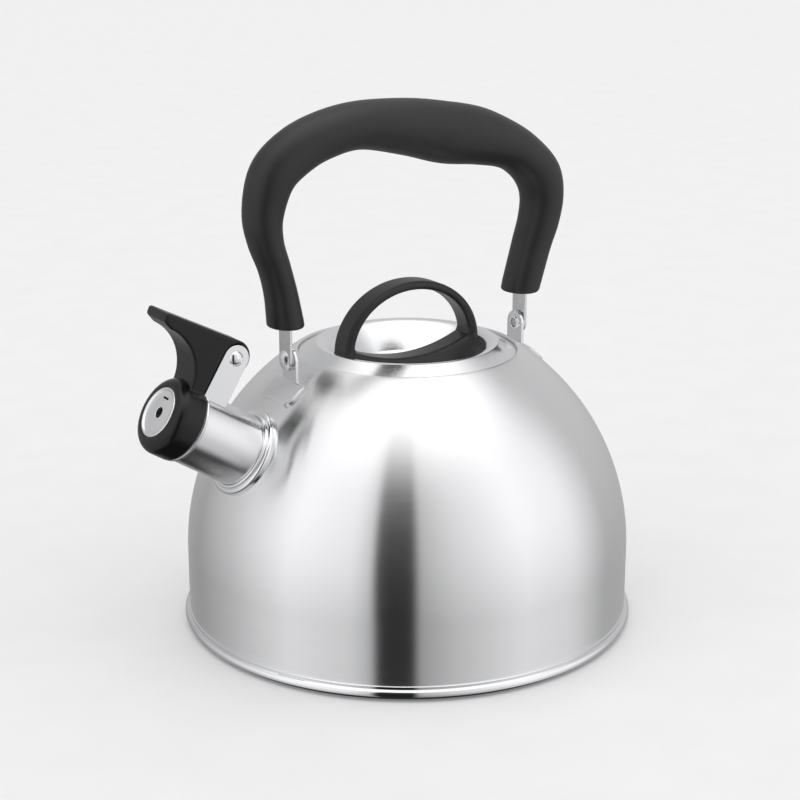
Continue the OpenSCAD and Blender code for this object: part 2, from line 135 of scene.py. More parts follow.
SPOUT_TILT = radians(32)
spout_out = Vector((-cos(SPOUT_TILT), 0, sin(SPOUT_TILT)))
spout_up = Vector((sin(SPOUT_TILT), 0, cos(SPOUT_TILT)))
spout_side = spout_up.cross(spout_out)
PIN_UP = 34.9
PIN_OUT = 29.2
SPOUT_R = 16.2
SPOUT_L = 33.5
pin_place = joint_mm("whistle_flip")
spout_root = pin_place - spout_up * PIN_UP - spout_out * PIN_OUT
EAR_Y = 7.3
LEVER_W = 18.4
HINGE_W = 14.0
CAP_GAP = 0.4
CAP_BACK = SPOUT_L + CAP_GAP
CAP_FRONT = CAP_BACK + 13.1
CAN_BACK = CAP_BACK + 7.3
CAP_R = SPOUT_R + 1.1


def frame_matrix(origin_mm, x_axis, y_axis, z_axis):
    """World matrix of a local frame: where its origin is, and which way its axes point."""
    matrix = Matrix((x_axis, y_axis, z_axis)).transposed().to_4x4()
    matrix.translation = Vector(origin_mm) * MM
    return matrix


UPRIGHT = Matrix.Identity(4)
# local x is up, z is out along the spout's axis
AT_SPOUT = frame_matrix(spout_root, spout_up, spout_side * -1, spout_out)
# a plate square to the hinge pin: local x is up, y is out along the spout
ACROSS_SPOUT = frame_matrix(spout_root, spout_up, spout_out, spout_side)
# the same two axes, standing at the hinge pin
AT_PIN = frame_matrix(pin_place, spout_up, spout_out, spout_side)


def facing_x(x_mm, z_mm=0.0):
    """Frame of a plate square to the world x axis: local x is sideways, y is up."""
    return frame_matrix((x_mm, 0, z_mm), (0, 1, 0), (0, 0, 1), (1, 0, 0))


# ---------------------------------------------------------------- outlines
def arc(cx, cy, radius, start, end, steps):
    """Points on an arc; angles in degrees."""
    turns = [radians(start + (end - start) * k / steps) for k in range(steps + 1)]
    return [(cx + radius * cos(a), cy + radius * sin(a)) for a in turns]


def rounded(corners, steps=5):
    """Closed outline from corners (x, y) or (x, y, radius); a radius turns its corner into an arc."""
    outline = []
    count = len(corners)
    for i, corner in enumerate(corners):
        here = Vector(corner[:2])
        radius = corner[2] if len(corner) > 2 else 0
        if radius <= 0:
            outline.append(here)
            continue
        before = Vector(corners[i - 1][:2]) - here
        after = Vector(corners[(i + 1) % count][:2]) - here
        half = before.angle(after) / 2
        reach = min(radius / tan(half), 0.49 * before.length, 0.49 * after.length)
        middle = before.normalized() + after.normalized()
        centre = here + middle.normalized() * (reach / cos(half))
        start = here + before.normalized() * reach - centre
        end = here + after.normalized() * reach - centre
        turn = atan2(start.cross(end), start.dot(end))
        for k in range(steps + 1):
            outline.append(centre + Matrix.Rotation(turn * k / steps, 2) @ start)
    return outline


def circle(cx, cy, radius, count=48):
    return [Vector(p) for p in arc(cx, cy, radius, 0, 360, count)[:-1]]


def area(outline):
    return sum(a[0] * b[1] - b[0] * a[1] for a, b in zip(outline, outline[1:] + outline[:1])) / 2


def inset(outline, distance):
    """The outline moved to its left by distance."""
    moved = []
    count = len(outline)
    for i in range(count):
        here = Vector(outline[i])
        into = (here - Vector(outline[i - 1])).normalized()
        away = (Vector(outline[(i + 1) % count]) - here).normalized()
        left = Vector((-into.y - away.y, into.x + away.x)).normalized()
        lean = max(0.5, left.dot(Vector((-into.y, into.x))))
        moved.append(here + left * distance / lean)
    return moved


# ---------------------------------------------------------------- meshes
def new_piece(name, bm, place=UPRIGHT, sharp=38, own_frame=False):
    """Object from a bmesh drawn in mm in a local frame; own_frame leaves it in that frame."""
    bmesh.ops.scale(bm, vec=(MM, MM, MM), verts=bm.verts)
    if not own_frame:
        bmesh.ops.transform(bm, matrix=place, verts=bm.verts)
    bmesh.ops.recalc_face_normals(bm, faces=bm.faces)
    mesh = bpy.data.meshes.new(name)
    bm.to_mesh(mesh)
    bm.free()
    piece = bpy.data.objects.new(name, mesh)
    piece.matrix_world = place if own_frame else UPRIGHT
    bpy.context.scene.collection.objects.link(piece)
    smooth(piece, sharp)
    return piece


def smooth(piece, sharp):
    piece.data.shade_smooth()
    piece.data.set_sharp_from_angle(angle=radians(sharp))


def bake(piece):
    """Replaces the mesh with what its modifiers make of it."""
    bpy.context.view_layer.update()
    seen = piece.evaluated_get(bpy.context.evaluated_depsgraph_get())
    mesh = bpy.data.meshes.new_from_object(seen)
    piece.modifiers.clear()
    piece.data = mesh
    return piece


def combine(piece, how, *tools):
    """Boolean with other objects, which are used up."""
    for tool in tools:
        modifier = piece.modifiers.new(how.lower(), "BOOLEAN")
        modifier.operation = how
        modifier.solver = "EXACT"
        modifier.object = tool
    bake(piece)
    for tool in tools:
        bpy.data.objects.remove(tool)
    return piece


def add_lathe(bm, outline, turns):
    angles = [2 * pi * k / turns for k in range(turns)]
    rings = []
    for radius, height in outline:
        if radius < 1e-6:
            rings.append([bm.verts.new((0, 0, height))] * turns)
        else:
            rings.append([bm.verts.new((radius * cos(a), radius * sin(a), height)) for a in angles])
    for i, lower in enumerate(rings):
        upper = rings[(i + 1) % len(rings)]
        for k in range(turns):
            nxt = (k + 1) % turns
            corners = list(dict.fromkeys((lower[k], lower[nxt], upper[nxt], upper[k])))
            if len(corners) > 2:
                bm.faces.new(corners)


def lathe(name, outline, turns=128, place=UPRIGHT, own_frame=False):
    """Closed outline (radius, height) turned about the local z axis."""
    bm = bmesh.new()
    add_lathe(bm, outline, turns)
    return new_piece(name, bm, place, own_frame=own_frame)


def add_slab(bm, outlines, thickness, edge, steps=4):
    """Plate centred on z = 0 with rounded edges: the first outline outside, the others holes."""
    turns = [pi / 2 * k / steps for k in range(steps + 1)]
    layers = [(edge * (1 - sin(t)), -thickness / 2 + edge * (1 - cos(t))) for t in turns]
    layers += [(d, -z) for d, z in reversed(layers)]
    rims = ([], [])
    for i, outline in enumerate(outlines):
        points = [Vector(p) for p in outline]
        if (area(points) > 0) != (i == 0):
            points.reverse()
        rings = []
        for distance, z in layers:
            moved = inset(points, distance) if distance > 1e-9 else points
            rings.append([bm.verts.new((p.x, p.y, z)) for p in moved])
        count = len(points)
        for lower, upper in zip(rings, rings[1:]):
            for k in range(count):
                nxt = (k + 1) % count
                bm.faces.new((lower[k], lower[nxt], upper[nxt], upper[k]))
        for rim, ring in zip(rims, (rings[0], rings[-1])):
            rim += [bm.edges.get((ring[k], ring[(k + 1) % count])) for k in range(count)]
    for rim in rims:
        bmesh.ops.triangle_fill(bm, edges=rim, use_beauty=True, use_dissolve=False)


def slab(name, outlines, thickness, edge, place=UPRIGHT, shift=0.0):
    """Plate with rounded edges, moved along its own thickness by shift."""
    bm = bmesh.new()
    add_slab(bm, outlines, thickness, edge)
    bmesh.ops.translate(bm, vec=(0, 0, shift), verts=bm.verts)
    return new_piece(name, bm, place)


def add_skin(bm, rings):
    """Closed skin through rings of points, with flat ends."""
    made = [[bm.verts.new(p) for p in ring] for ring in rings]
    count = len(rings[0])
    for lower, upper in zip(made, made[1:]):
        for k in range(count):
            nxt = (k + 1) % count
            bm.faces.new((lower[k], lower[nxt], upper[nxt], upper[k]))
    bm.faces.new(made[0])
    bm.faces.new(made[-1])


def join(first, *others):
    """Joins other objects into the first; all stand in the same frame."""
    bm = bmesh.new()
    for piece in (first, *others):
        bm.from_mesh(piece.data)
    bm.to_mesh(first.data)
    bm.free()
    for piece in others:
        bpy.data.objects.remove(piece)
    return first


# ---------------------------------------------------------------- materials
def shader_node(tree, kind, inputs=None, **settings):
    made = tree.nodes.new(kind)
    for key, value in settings.items():
        setattr(made, key, value)
    for key, value in (inputs or {}).items():
        if isinstance(value, bpy.types.NodeSocket):
            tree.links.new(value, made.inputs[key])
        else:
            made.inputs[key].default_value = value
    return made


def new_material(name, **values):
    """Material with a Principled shader; values are its sockets, with _ for a space."""
    material = bpy.data.materials.new(name)
    material.use_nodes = True
    shader = material.node_tree.nodes["Principled BSDF"]
    for key, value in values.items():
        shader.inputs[key.replace("_", " ")].default_value = value
    return material, material.node_tree, shader


def math_node(tree, operation, a, b=0.0):
    return shader_node(tree, "ShaderNodeMath", {0: a, 1: b}, operation=operation).outputs[0]


def noise(tree, vector, scale, detail=3.0, roughness=0.5):
    inputs = {"Vector": vector, "Scale": scale, "Detail": detail, "Roughness": roughness}
    return shader_node(tree, "ShaderNodeTexNoise", inputs).outputs["Fac"]


def ramp(tree, value, low, high, at=(0.0, 1.0)):
    """Maps a value to the range low..high."""
    inputs = {"Value": value, "From Min": at[0], "From Max": at[1], "To Min": low, "To Max": high}
    return shader_node(tree, "ShaderNodeMapRange", inputs).outputs["Result"]


def tint(tree, value, dark, light, at=(0.3, 0.7)):
    """Colour between dark and light as value goes through the range at."""
    made = shader_node(tree, "ShaderNodeValToRGB", {"Fac": value})
    made.color_ramp.elements[0].position = at[0]
    made.color_ramp.elements[0].color = (*dark, 1)
    made.color_ramp.elements[1].position = at[1]
    made.color_ramp.elements[1].color = (*light, 1)
    return made.outputs["Color"]


def object_coords(tree):
    return shader_node(tree, "ShaderNodeTexCoord").outputs["Object"]


def bump(tree, shader, height, distance):
    inputs = {"Height": height, "Distance": distance, "Strength": 1.0}
    made = shader_node(tree, "ShaderNodeBump", inputs)
    tree.links.new(made.outputs["Normal"], shader.inputs["Normal"])


def round_brush_coords(tree, along, across):
    """Coordinates whose noise runs in circles round the local z axis.
    along is how fast it changes round the circle, across how fast between circles."""
    split = shader_node(tree, "ShaderNodeSeparateXYZ", {0: object_coords(tree)})
    flat = shader_node(tree, "ShaderNodeCombineXYZ", {0: split.outputs[0], 1: split.outputs[1]})
    length = shader_node(tree, "ShaderNodeVectorMath", {0: flat.outputs[0]}, operation="LENGTH")
    unit = shader_node(tree, "ShaderNodeVectorMath", {0: flat.outputs[0]}, operation="NORMALIZE")
    around = shader_node(tree, "ShaderNodeVectorMath", {0: unit.outputs[0], 3: along}, operation="SCALE")
    climb = math_node(tree, "SUBTRACT", split.outputs[2], length.outputs["Value"])
    spread = math_node(tree, "MULTIPLY", climb, across)
    parts = shader_node(tree, "ShaderNodeSeparateXYZ", {0: around.outputs[0]})
    inputs = {0: parts.outputs[0], 1: parts.outputs[1], 2: spread}
    return shader_node(tree, "ShaderNodeCombineXYZ", inputs).outputs[0]


# how far the stretched shine is turned from its tangent, as a share of a full turn
QUARTER_TURN = 0.25
# how fast the brushing changes from circle to circle, per metre: fine lines, and broad ones under them
FINE_LINES = 3600
BROAD_LINES = 420


def brushed_steel(name, along, rough, stretch=0.9, shine=(0.78, 0.87), wear=0.25):
    """Steel brushed in circles round the local z axis; wear is how much its lines vary."""
    material, tree, shader = new_material(name, Metallic=1.0, Anisotropic=stretch,
                                          Anisotropic_Rotation=QUARTER_TURN)
    fine = noise(tree, round_brush_coords(tree, along, FINE_LINES), 1.0, 5, 0.65)
    broad = noise(tree, round_brush_coords(tree, along * 0.5, BROAD_LINES), 1.0, 3, 0.55)
    both = math_node(tree, "ADD", math_node(tree, "MULTIPLY", fine, 0.75),
                     math_node(tree, "MULTIPLY", broad, 0.25))
    dark = (shine[0], shine[0], shine[0] * 1.01)
    light = (shine[1], shine[1], shine[1] * 1.005)
    tree.links.new(tint(tree, both, dark, light), shader.inputs["Base Color"])
    low, high = rough * (1 - wear), rough * (1 + wear)
    tree.links.new(ramp(tree, both, low, high, (0.3, 0.7)), shader.inputs["Roughness"])
    bump(tree, shader, fine, 0.0000025)
    tangent = shader_node(tree, "ShaderNodeTangent", direction_type="RADIAL", axis="Z")
    tree.links.new(tangent.outputs[0], shader.inputs["Tangent"])
    return material


def polished_steel(name, rough=0.07, shine=0.86):
    """Polished steel with faint wipe marks."""
    material, tree, shader = new_material(name, Metallic=1.0)
    coords = object_coords(tree)
    smear = noise(tree, coords, 90, 3)
    scuff = noise(tree, coords, 900, 4, 0.7)
    both = math_node(tree, "MULTIPLY", smear, scuff)
    dark = (shine * 0.96, shine * 0.965, shine * 0.98)
    light = (shine, shine, shine)
    tree.links.new(tint(tree, both, dark, light, (0.1, 0.45)), shader.inputs["Base Color"])
    tree.links.new(ramp(tree, both, rough * 0.7, rough * 1.6, (0.1, 0.45)), shader.inputs["Roughness"])
    bump(tree, shader, smear, 0.000006)
    return material


def satin_steel(name, rough=0.24, shine=0.72, stretch=(1, 1, 14)):
    """Cut and tumbled sheet: a fine grain along one direction."""
    material, tree, shader = new_material(name, Metallic=1.0)
    scaled = shader_node(tree, "ShaderNodeVectorMath", {0: object_coords(tree), 1: stretch},
                         operation="DIVIDE").outputs[0]
    grain = noise(tree, scaled, 5200, 3, 0.6)
    cloud = noise(tree, object_coords(tree), 160, 3)
    both = math_node(tree, "ADD", math_node(tree, "MULTIPLY", grain, 0.5),
                     math_node(tree, "MULTIPLY", cloud, 0.5))
    dark = (shine * 0.86, shine * 0.865, shine * 0.88)
    light = (shine * 1.08, shine * 1.08, shine * 1.08)
    tree.links.new(tint(tree, both, dark, light), shader.inputs["Base Color"])
    tree.links.new(ramp(tree, both, rough * 0.8, rough * 1.3, (0.3, 0.7)), shader.inputs["Roughness"])
    bump(tree, shader, grain, 0.000008)
    return material


def moulded_plastic(name, dark, light, rough, grain_size, grain_depth, **values):
    """Moulded surface: a fine spark-eroded grain over slow colour changes."""
    material, tree, shader = new_material(name, **values)
    coords = object_coords(tree)
    grain = noise(tree, coords, 1 / grain_size, 2, 0.55)
    cloud = noise(tree, coords, 45, 3)
    tree.links.new(tint(tree, cloud, dark, light), shader.inputs["Base Color"])
    tree.links.new(ramp(tree, grain, rough * 0.85, rough * 1.15, (0.3, 0.7)), shader.inputs["Roughness"])
    bump(tree, shader, grain, grain_depth)
    return material


wall_steel = brushed_steel("brushed_wall", 5, 0.22, 1.0, (0.86, 0.90), 0.14)
spout_steel = brushed_steel("brushed_spout", 1.2, 0.2, 0.9, (0.80, 0.85), 0.06)
base_steel = brushed_steel("turned_base", 9, 0.30, 0.7)
bright_steel = polished_steel("polished_steel")
rim_steel = polished_steel("polished_rim", 0.05)
lid_steel = polished_steel("polished_lid", 0.17, 0.9)
face_steel = polished_steel("pressed_face", 0.24, 0.88)
cut_steel = satin_steel("plain_steel")
wire_steel = satin_steel("spring_steel", 0.2, 0.62)
spun_aluminium = brushed_steel("spun_aluminium", 5, 0.4, 0.6, (0.60, 0.74))
grip_rubber = moulded_plastic("soft_grip", (0.009, 0.009, 0.0095), (0.014, 0.014, 0.0145), 0.44,
                              0.00028, 0.00002, Specular_IOR_Level=0.5)
black_plastic = moulded_plastic("black_plastic", (0.004, 0.004, 0.0043), (0.007, 0.007, 0.0073), 0.24,
                                0.0004, 0.000006, Specular_IOR_Level=0.36)
knob_plastic = moulded_plastic("knob_plastic", (0.007, 0.007, 0.0074), (0.011, 0.011, 0.0115), 0.38,
                               0.00035, 0.000012)
grey_silicone = moulded_plastic("silicone", (0.30, 0.30, 0.29), (0.38, 0.38, 0.37), 0.5,
                                0.0005, 0.00001, Subsurface_Weight=0.2, Subsurface_Scale=0.002)


def dress(piece, body, material, slot, *nodes):
    """Gives a piece its finish, the body it rides on, and the CAD nodes it stands for."""
    piece.data.materials.clear()
    piece.data.materials.append(material)
    normals = piece.modifiers.new("normals", "WEIGHTED_NORMAL")
    normals.keep_sharp = True
    normals.weight = 60
    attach(piece, body)
    if nodes:
        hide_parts(*nodes)


def dress_node(node, material):
    """Gives a CAD node that stays its finish."""
    mesh = frame["nodes"][node].data
    mesh.materials.clear()
    mesh.materials.append(material)


# ---------------------------------------------------------------- vessel
def dome_z(radius, out=0.0):
    """Height of the dome at a radius, or of a skin that far outside it."""
    return WALL_TOP + sqrt((arc_r + out) ** 2 - (radius - arc_x) ** 2)


def dome_cutter(name):
    """Solid inside the dome's outer face, in the world frame."""
    end = degrees(asin((dome_z(30) - WALL_TOP) / arc_r))
    outline = arc(arc_x, WALL_TOP, arc_r, 0, end, 90)
    return lathe(name, [(0, 10), (wall_r, 10)] + outline + [(0, outline[-1][1])], 256)


def vessel_wall():
    """Wall, dome, lid seat and neck as one pressed skin, open at the spout."""
    end = degrees(asin((dome_top - WALL_TOP) / arc_r))
    outer = arc(arc_x, WALL_TOP, arc_r, 0, end - 0.15, 76)
    inner_r = arc_r - SHEET
    inner_end = degrees(asin(sqrt(inner_r ** 2 - (seat_out - arc_x) ** 2) / inner_r))
    inner = arc(arc_x, WALL_TOP, inner_r, inner_end, 0, 60)
    under = seat_z - SHEET
    neck_low = seat_z - NECK_DEPTH
    outline = rounded([(wall_r, foot_z)] + outer
                      + [(step_r + 0.4, dome_top + 0.15, 0.3), (step_r, dome_top - 0.2, 0.2),
                         (step_r, seat_z, 0.4), (neck_r, seat_z, 0.8),
                         (neck_r, neck_low, 0.2), (neck_r + SHEET, neck_low, 0.2),
                         (neck_r + SHEET, under, 0.3), (seat_out, under, 0.3)]
                      + inner + [(wall_r - SHEET, foot_z)])
    shell = lathe("vessel_wall", outline, 288)
    bore = SPOUT_R - SHEET
    cutter = lathe("cutter", [(0, -12), (bore, -12), (bore, 12), (0, 12)], 96, AT_SPOUT)
    combine(shell, "DIFFERENCE", cutter)
    smooth(shell, 38)
    dress(shell, "vessel", wall_steel, "brushed_wall", "body_wall",
          "body_shoulder", "body_dome", "lid_seat")


def base_pan():
    """Bottom plate with the rolled seam and the narrow fold above it."""
    seam = arc(bead_x, bead_z, bead_r, 192, -145, 40)
    outline = rounded([(0, 4.6), (base_r + 2, 4.6, 0.5), (base_r + 2, 2.4, 0.5)] + seam
                      + [(base_r + 1.2, 1.6, 0.4), (base_r + 1.2, 3.8, 0.3), (0, 3.8)])
    pan = lathe("rolled_seam", outline, 256)
    fold = rounded([(wall_r - 0.2, 4.4), (wall_r + 0.6, 4.4), (wall_r + 0.6, 6.3, 0.3),
                    (wall_r - 0.2, 6.6)])
    join(pan, lathe("fold", fold, 256))
    smooth(pan, 38)
    dress(pan, "vessel", rim_steel, "polished_steel", "base_pan")


def base_cap():
    """Steel cap of the heat spreader, with shallow rings pressed into its face."""
    rings = []
    for radius in (70, 50, 30):
        rings += [(radius, 0, 0.3), (radius - 0.8, 0.25, 0.3), (radius - 1.8, 0.25, 0.3),
                  (radius - 2.6, 0, 0.3)]
    top = high_mm("base_cap").z
    outline = rounded([(base_r, top, 0.1), (base_r, 0.8, 0.4), (base_r - 0.8, 0, 0.4)] + rings
                      + [(0, 0), (0, 0.6), (base_r - 0.6, 0.6), (base_r - 0.6, top)], 3)
    dress(lathe("base_face", outline, 192), "vessel", base_steel, "plain_steel", "base_cap")


def spout_tube():
    bore = SPOUT_R - SHEET
    lip = arc(SPOUT_R, SPOUT_L - 0.8, 0.8, 160, -72, 16)
    outline = [(bore, -8), (bore, SPOUT_L - 0.6)] + lip + [(SPOUT_R, SPOUT_L - 1.8), (SPOUT_R, -8)]
    tube = lathe("spout_pipe", outline, 160, AT_SPOUT, own_frame=True)
    combine(tube, "DIFFERENCE", dome_cutter("cutter"))
    smooth(tube, 38)
    dress(tube, "vessel", spout_steel, "brushed_wall", "spout_tube")


def collar_height(radius):
    """Height of the double bead at a radius."""
    heights = [-4.0]
    for centre, height, size in ((SPOUT_R + 2.3, -0.3, 1.5), (SPOUT_R + 0.8, 1.3, 0.9)):
        if abs(radius - centre) < size:
            heights.append(height + sqrt(size ** 2 - (radius - centre) ** 2))
    return max(heights)


def spout_collar():
    outer = SPOUT_R + 3.8
    steps = 44
    across = [outer - 0.001 - (outer - SPOUT_R) * k / steps for k in range(steps + 1)]
    outline = [(outer, -4), (outer, -0.3)] + [(r, collar_height(r)) for r in across] + [(SPOUT_R, -4)]
    collar = lathe("spout_ring", outline, 160, AT_SPOUT)
    combine(collar, "DIFFERENCE", dome_cutter("cutter"))
    smooth(collar, 50)
    dress(collar, "vessel", bright_steel, "polished_steel", "spout_collar")


def spout_bracket():
    """Folded bracket: a saddle on the spout and two round-topped ears."""
    foot = sqrt(SPOUT_R ** 2 - (EAR_Y + ear_t) ** 2) + 0.3
    ear = ([(foot, PIN_OUT - 6)] + arc(PIN_UP, PIN_OUT, 6, -90, 90, 28) + [(foot, PIN_OUT + 6)])
    hole = circle(PIN_UP, PIN_OUT, 1.6, 32)
    ear_mid = EAR_Y + ear_t / 2
    near, far = [slab("bracket_ears", [ear, hole], ear_t, 0.25, ACROSS_SPOUT, side * ear_mid)
                 for side in (-1, 1)]
    join(near, far)
    dress(near, "vessel", bright_steel, "polished_steel", "spout_bracket")
    half = EAR_Y + 0.4
    start = degrees(asin(half / SPOUT_R))
    saddle = rounded([(SPOUT_R + 1.2, -half, 0.3), (SPOUT_R + 1.2, half, 0.3)]
                     + arc(0, 0, SPOUT_R, start, -start, 24))
    dress(slab("bracket_saddle", [saddle], 8.6, 0.2, AT_SPOUT, PIN_OUT - 2.1), "vessel", bright_steel,
          "polished_steel")


def domed_head(base, radius, height, steps=8):
    """Points of a shallow dome from its edge to its top, above base."""
    big = (radius ** 2 + height ** 2) / (2 * height)
    end = degrees(asin(radius / big))
    return [(x, base - big + height + y) for x, y in arc(0, 0, big, 90 - end, 90, steps)]


def hinge_pin():
    """Shaft with a set head at each end."""
    out = EAR_Y + ear_t
    top = domed_head(out + 0.02, 3.3, 1.7)
    half = [(1.6, 0), (1.6, out + 0.02), (3.2, out + 0.02)] + top
    bottom = [(x, -y) for x, y in reversed(half)]
    pin = lathe("hinge_pin_steel", bottom[:-1] + half, 64, AT_PIN)
    dress(pin, "vessel", bright_steel, "polished_steel", "hinge_pin")


def cap_spring():
    """Torsion spring: two and a quarter turns of wire and a straight leg at each end."""
    coil_r = 3.6
    turns = 2.25
    points = [(coil_r, 14, 1.2), (coil_r, 8, 1.2), (coil_r, 3, 1.2)]
    steps = 60
    for k in range(steps + 1):
        turn = 2 * pi * turns * k / steps
        points.append((coil_r * cos(turn), -coil_r * sin(turn), 1.2 - 1.05 * turns * k / steps))
    end = PIN_UP - SPOUT_R - 1.2 - 0.42
    points += [(-3, -coil_r, 1.2 - 1.05 * turns), (-end, -coil_r, 1.2 - 1.05 * turns)]
    curve = bpy.data.curves.new("coil_wire", "CURVE")
    curve.dimensions = "3D"
    curve.bevel_depth = 0.4 * MM
    curve.bevel_resolution = 5
    curve.use_fill_caps = True
    spline = curve.splines.new("POLY")
    spline.points.add(len(points) - 1)
    for target, point in zip(spline.points, points):
        target.co = (*(Vector(point) * MM), 1)
    spring = bpy.data.objects.new("coil_wire", curve)
    spring.matrix_world = AT_PIN
    bpy.context.scene.collection.objects.link(spring)
    mesh = bpy.data.meshes.new_from_object(spring.evaluated_get(bpy.context.evaluated_depsgraph_get()))
    bpy.data.objects.remove(spring)
    wire = bpy.data.objects.new("coil_wire", mesh)
    wire.matrix_world = AT_PIN
    bpy.context.scene.collection.objects.link(wire)
    smooth(wire, 50)
    dress(wire, "vessel", wire_steel, "spring_steel", "cap_spring")


vessel_wall()
base_pan()
base_cap()
spout_tube()
spout_collar()
spout_bracket()
hinge_pin()
cap_spring()
dress_node("base_core", spun_aluminium)


# ---------------------------------------------------------------- whistle
def cap_lever():
    """Thumb lever seen from the side: concave in front, with a blunt lip at its tip."""
    front = arc(PIN_UP - 21.8, PIN_OUT + 33.7, 20.4, 2, -86, 32)
    outline = rounded([(SPOUT_R - 2.2, CAP_BACK + 0.3), (PIN_UP - 7, CAP_BACK + 0.3, 1.5),
                       (PIN_UP, PIN_OUT), (PIN_UP + 7.6, PIN_OUT),
                       (PIN_UP + 4.2, PIN_OUT + 39.6, 1.2), (PIN_UP + 0.3, PIN_OUT + 39, 1.2)] + front)
    return slab("lever", [outline], LEVER_W, 0.9, ACROSS_SPOUT)


def ear_recess(side):
    """Cutter for the recess that one bracket ear stands in."""
    clear = 6.8
    low = PIN_OUT - 20
    outline = ([(0, low), (PIN_UP + 20, low), (PIN_UP + 20, PIN_OUT)]
               + arc(PIN_UP, PIN_OUT, clear, 0, 90, 20) + [(0, PIN_OUT + clear)])
    return slab("recess", [outline], 10, 0.1, ACROSS_SPOUT, side * (HINGE_W + 10) / 2)


def whistle_cap():
    """Moulded cap: cup, lever and hinge boss, melted into one skin."""
    front_z = CAP_FRONT
    round_r = 5.5
    cup = rounded([(0, CAP_BACK), (CAP_R, CAP_BACK, 0.4)]
                  + arc(CAP_R - round_r, front_z - round_r, round_r, 0, 90, 14) + [(0, front_z)])
    cap = lathe("whistle_cup", cup, 128, AT_SPOUT)
    boss = slab("boss", [circle(PIN_UP, PIN_OUT, 7.7, 64)], HINGE_W, 0.8, ACROSS_SPOUT)
    lever = combine(cap_lever(), "DIFFERENCE", ear_recess(-1), ear_recess(1))
    combine(cap, "UNION", lever, boss)
    bore = [(0, CAP_BACK - 6), (SPOUT_R + 0.2, CAP_BACK - 6), (SPOUT_R + 0.2, CAP_BACK + 2),
            (SPOUT_R - 3.4, CAP_BACK + 2), (SPOUT_R - 3.4, CAP_BACK + 6.1), (10, CAP_BACK + 6.1),
            (10, CAN_BACK), (11.4, CAN_BACK), (11.4, front_z + 4), (0, front_z + 4)]
    hinge = slab("hinge", [circle(PIN_UP, PIN_OUT, 1.65, 32)], HINGE_W + 4, 0.1, ACROSS_SPOUT)
    pocket = [(PIN_UP + 5, PIN_OUT - 5), (PIN_UP + 5, PIN_OUT + 3), (PIN_UP - 5, PIN_OUT + 3.5),
              (PIN_UP - 9, PIN_OUT + 2), (PIN_UP - 9, PIN_OUT - 9), (PIN_UP + 1, PIN_OUT - 9)]
    combine(cap, "DIFFERENCE", lathe("bore", bore, 128, AT_SPOUT), hinge,
            slab("pocket", [rounded(pocket)], 5, 0.1, ACROSS_SPOUT))
    melt = cap.modifiers.new("melt", "REMESH")
    melt.mode = "VOXEL"
    melt.voxel_size = 0.36 * MM
    soften = cap.modifiers.new("soften", "SMOOTH")
    soften.factor = 0.5
    soften.iterations = 6
    bake(cap)
    cap.data.shade_smooth()
    dress(cap, "whistle", black_plastic, "black_plastic", "whistle_cap")


def whistle_front():
    """Pressed steel can: rolled rim, flat face, sound hole and slit."""
    can_r = high_mm("whistle_front").y
    back = CAN_BACK
    rim = CAP_FRONT
    face = rim - 0.8
    hole = 2.4
    outline = rounded([(can_r - 0.6, back), (can_r - 0.6, face - 0.6, 0.3), (hole, face - 0.6, 0.15),
                       (hole, face + 0.1, 0.2), (hole + 0.5, face + 0.1, 0.3), (can_r * 0.7, face, 6),
                       (can_r - 1.6, face + 0.1, 0.8), (can_r - 0.9, rim - 0.1, 0.35),
                       (can_r - 0.5, rim, 0.3), (can_r, rim - 0.2, 0.35), (can_r, back)])
    can = lathe("whistle_face", outline, 128, AT_SPOUT)
    slit_x = can_r * 0.55
    slit = [(slit_x, -2.2), (slit_x + 0.9, -2.2), (slit_x + 0.9, 2.2), (slit_x, 2.2)]
    combine(can, "DIFFERENCE", slab("slit", [slit], 4, 0.05, AT_SPOUT, face))
    smooth(can, 38)
    dress(can, "whistle", face_steel, "polished_steel", "whistle_front")


whistle_cap()
whistle_front()
dress_node("whistle_rear", cut_steel)
dress_node("cap_seal", grey_silicone)


# ---------------------------------------------------------------- handle
def on_dome(x, y, out):
    """The point that far outside the dome, above the place x, y."""
    radius = sqrt(x * x + y * y)
    lean = (radius - arc_x) / arc_r
    rise = sqrt(1 - lean * lean)
    return Vector((x / radius * (radius + lean * out), y / radius * (radius + lean * out),
                   WALL_TOP + rise * (arc_r + out)))


def bracket(side, tail):
    """Ear and curved foot of one handle bracket."""
    ear_w = strap_w + 2
    top = arc(0, pivot_z, ear_w / 2, 180, 0, 32)
    low = dome_z(ear_in) - 1.2
    ear = [(-ear_w / 2, low)] + top + [(ear_w / 2, low)]
    plate = slab("bracket_ear_" + tail, [ear, circle(0, pivot_z, rivet_r, 40)], ear_t, 0.3,
                 facing_x(side * (ear_in + ear_t / 2)))
    half = 12.0
    length = 9.2
    foot = rounded([(0, -half), (length, -half, 4), (length, half, 4), (0, half)], 8)
    bm = bmesh.new()
    add_slab(bm, [foot], 1.9, 0.55)
    for _ in range(3):
        long_edges = [e for e in bm.edges if e.calc_length() > 2.2]
        bmesh.ops.subdivide_edges(bm, edges=long_edges, cuts=1)
        bmesh.ops.triangulate(bm, faces=[f for f in bm.faces if len(f.verts) > 4])
    for vert in bm.verts:
        x, y, out = vert.co
        point = on_dome(ear_in + x, y, out + 0.55)
        vert.co = (side * point.x, point.y, point.z)
    foot_plate = new_piece("bracket_foot_" + tail, bm)
    dress(plate, "vessel", bright_steel, "polished_steel", "bracket_" + tail)
    dress(foot_plate, "vessel", bright_steel, "polished_steel")


